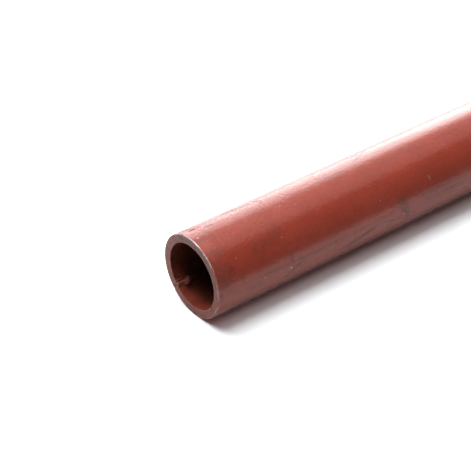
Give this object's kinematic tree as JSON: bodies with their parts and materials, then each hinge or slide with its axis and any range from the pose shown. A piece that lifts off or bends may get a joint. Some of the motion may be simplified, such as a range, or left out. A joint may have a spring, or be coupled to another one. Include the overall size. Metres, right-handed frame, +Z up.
{
  "type": "steel pipe",
  "caption": "Straight round welded mild steel pipe in red oxide primer, sawn square at both ends, with the weld bead standing inside the bore; stock for frames, posts and handrails.",
  "frame": {"origin": "on the floor below the middle of the pipe, at the bottom centre of its box", "axes": "+X along the pipe's axis, away from the end that has the flash knob inside; +Z up from the floor that the pipe lies on"},
  "size_m": [1, 0.0483, 0.0483],
  "materials": {
    "red_oxide_primer": "semi-gloss red oxide primer over mild steel, bare steel on the sawn ends"
  },
  "bodies": {
    "root": {"pipe": "red_oxide_primer"}
  },
  "joints": []
}
